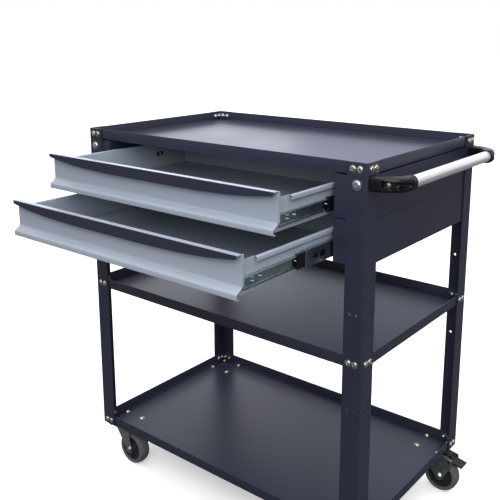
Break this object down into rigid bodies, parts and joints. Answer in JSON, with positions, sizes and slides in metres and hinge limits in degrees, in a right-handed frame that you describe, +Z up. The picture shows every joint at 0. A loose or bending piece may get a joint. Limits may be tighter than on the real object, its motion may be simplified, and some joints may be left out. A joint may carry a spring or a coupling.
{
  "type": "workshop trolley with drawers",
  "caption": "Three-tier steel workshop trolley: rimmed trays on angle posts, slide-out drawers with finger pulls under the top, a side push handle and swivel casters.",
  "frame": {"origin": "on the floor, under the middle of the whole object's box with the drawers open as stored", "axes": "+Z up, the drawers open towards -Y, the push handle is on the +X end"},
  "size_m": [0.7932, 0.713, 0.838],
  "materials": {
    "frame_paint": "semi-gloss dark blue-grey powder coat",
    "drawer_paint": "satin light grey powder coat",
    "slide_zinc": "bright zinc plate",
    "hardware_zinc": "zinc plate, slightly yellow",
    "handle_aluminium": "satin anodised",
    "black_plastic": "moulded, slight sheen",
    "wheel_rubber": "matt grey rubber"
  },
  "bodies": {
    "frame": {"post_front_left": "frame_paint", "post_front_right": "frame_paint", "post_rear_left": "frame_paint", "post_rear_right": "frame_paint", "top_tray": "frame_paint", "middle_shelf": "frame_paint", "bottom_shelf": "frame_paint", "side_panel_upper_left": "frame_paint", "side_panel_upper_right": "frame_paint", "side_panel_lower_left": "frame_paint", "side_panel_lower_right": "frame_paint", "housing_rear_panel": "frame_paint", "slide_outer_upper_left": "slide_zinc", "slide_outer_upper_right": "slide_zinc", "slide_outer_lower_left": "slide_zinc", "slide_outer_lower_right": "slide_zinc", "handle_tube": "handle_aluminium", "handle_bracket_front": "black_plastic", "handle_bracket_rear": "black_plastic", "housing_bolt_front_left": "hardware_zinc", "housing_bolt_front_right": "hardware_zinc", "housing_bolt_rear_left": "hardware_zinc", "housing_bolt_rear_right": "hardware_zinc", "caster_plate_front_left": "hardware_zinc", "caster_plate_front_right": "hardware_zinc", "caster_plate_rear_left": "hardware_zinc", "caster_plate_rear_right": "hardware_zinc"},
    "runner_upper": {"slide_middle_upper_left": "slide_zinc", "slide_middle_upper_right": "slide_zinc"},
    "ball_cages_upper": {"ball_cage_upper_left": "black_plastic", "ball_cage_upper_right": "black_plastic"},
    "drawer_upper": {"drawer_box_upper": "drawer_paint", "drawer_front_upper": "drawer_paint", "drawer_pull_upper": "frame_paint", "slide_inner_upper_left": "slide_zinc", "slide_inner_upper_right": "slide_zinc"},
    "runner_lower": {"slide_middle_lower_left": "slide_zinc", "slide_middle_lower_right": "slide_zinc"},
    "ball_cages_lower": {"ball_cage_lower_left": "black_plastic", "ball_cage_lower_right": "black_plastic"},
    "drawer_lower": {"drawer_box_lower": "drawer_paint", "drawer_front_lower": "drawer_paint", "drawer_pull_lower": "frame_paint", "slide_inner_lower_left": "slide_zinc", "slide_inner_lower_right": "slide_zinc"},
    "caster_front_left": {"caster_fork_front_left": "hardware_zinc", "caster_axle_front_left": "hardware_zinc"},
    "wheel_front_left": {"caster_wheel_front_left": "wheel_rubber"},
    "caster_front_right": {"caster_fork_front_right": "hardware_zinc", "caster_axle_front_right": "hardware_zinc"},
    "wheel_front_right": {"caster_wheel_front_right": "wheel_rubber"},
    "brake_front_right": {"brake_pedal_front_right": "black_plastic"},
    "caster_rear_left": {"caster_fork_rear_left": "hardware_zinc", "caster_axle_rear_left": "hardware_zinc"},
    "wheel_rear_left": {"caster_wheel_rear_left": "wheel_rubber"},
    "caster_rear_right": {"caster_fork_rear_right": "hardware_zinc", "caster_axle_rear_right": "hardware_zinc"},
    "wheel_rear_right": {"caster_wheel_rear_right": "wheel_rubber"},
    "brake_rear_right": {"brake_pedal_rear_right": "black_plastic"}
  },
  "joints": [
    {"name": "runner_slide_upper", "type": "slide", "parent": "frame", "child": "runner_upper", "axis": [0, -1, 0], "range_m": [0, 0.15]},
    {"name": "drawer_slide_upper", "type": "slide", "parent": "runner_upper", "child": "drawer_upper", "axis": [0, -1, 0], "range_m": [-0.1518, 0]},
    {"name": "cage_slide_upper", "type": "slide", "parent": "runner_upper", "child": "ball_cages_upper", "axis": [0, -1, 0], "range_m": [-0.0759, 0]},
    {"name": "runner_slide_lower", "type": "slide", "parent": "frame", "child": "runner_lower", "axis": [0, -1, 0], "range_m": [-0.0906, 0.0594]},
    {"name": "drawer_slide_lower", "type": "slide", "parent": "runner_lower", "child": "drawer_lower", "axis": [0, -1, 0], "range_m": [-0.1518, 0]},
    {"name": "cage_slide_lower", "type": "slide", "parent": "runner_lower", "child": "ball_cages_lower", "axis": [0, -1, 0], "range_m": [-0.0759, 0]},
    {"name": "caster_swivel_front_left", "type": "hinge", "parent": "frame", "child": "caster_front_left", "pos_m": [-0.3552, -0.06155, 0.094], "axis": [0, 0, 1], "continuous": true},
    {"name": "wheel_spin_front_left", "type": "hinge", "parent": "caster_front_left", "child": "wheel_front_left", "pos_m": [-0.3272, -0.06155, 0.04], "axis": [0, 1, 0], "continuous": true},
    {"name": "caster_swivel_front_right", "type": "hinge", "parent": "frame", "child": "caster_front_right", "pos_m": [0.2922, -0.06155, 0.094], "axis": [0, 0, 1], "continuous": true},
    {"name": "wheel_spin_front_right", "type": "hinge", "parent": "caster_front_right", "child": "wheel_front_right", "pos_m": [0.3202, -0.06155, 0.04], "axis": [0, 1, 0], "continuous": true},
    {"name": "brake_tilt_front_right", "type": "hinge", "parent": "caster_front_right", "child": "brake_front_right", "pos_m": [0.3422, -0.06155, 0.084], "axis": [0, 1, 0], "range_deg": [0, 12]},
    {"name": "caster_swivel_rear_left", "type": "hinge", "parent": "frame", "child": "caster_rear_left", "pos_m": [-0.3552, 0.31345, 0.094], "axis": [0, 0, 1], "continuous": true},
    {"name": "wheel_spin_rear_left", "type": "hinge", "parent": "caster_rear_left", "child": "wheel_rear_left", "pos_m": [-0.3272, 0.31345, 0.04], "axis": [0, 1, 0], "continuous": true},
    {"name": "caster_swivel_rear_right", "type": "hinge", "parent": "frame", "child": "caster_rear_right", "pos_m": [0.2922, 0.31345, 0.094], "axis": [0, 0, 1], "continuous": true},
    {"name": "wheel_spin_rear_right", "type": "hinge", "parent": "caster_rear_right", "child": "wheel_rear_right", "pos_m": [0.3202, 0.31345, 0.04], "axis": [0, 1, 0], "continuous": true},
    {"name": "brake_tilt_rear_right", "type": "hinge", "parent": "caster_rear_right", "child": "brake_rear_right", "pos_m": [0.3422, 0.31345, 0.084], "axis": [0, 1, 0], "range_deg": [0, 12]}
  ],
  "couplings": [
    {"joint": "cage_slide_upper", "follows": "drawer_slide_upper", "ratio": 0.5},
    {"joint": "cage_slide_lower", "follows": "drawer_slide_lower", "ratio": 0.5}
  ]
}
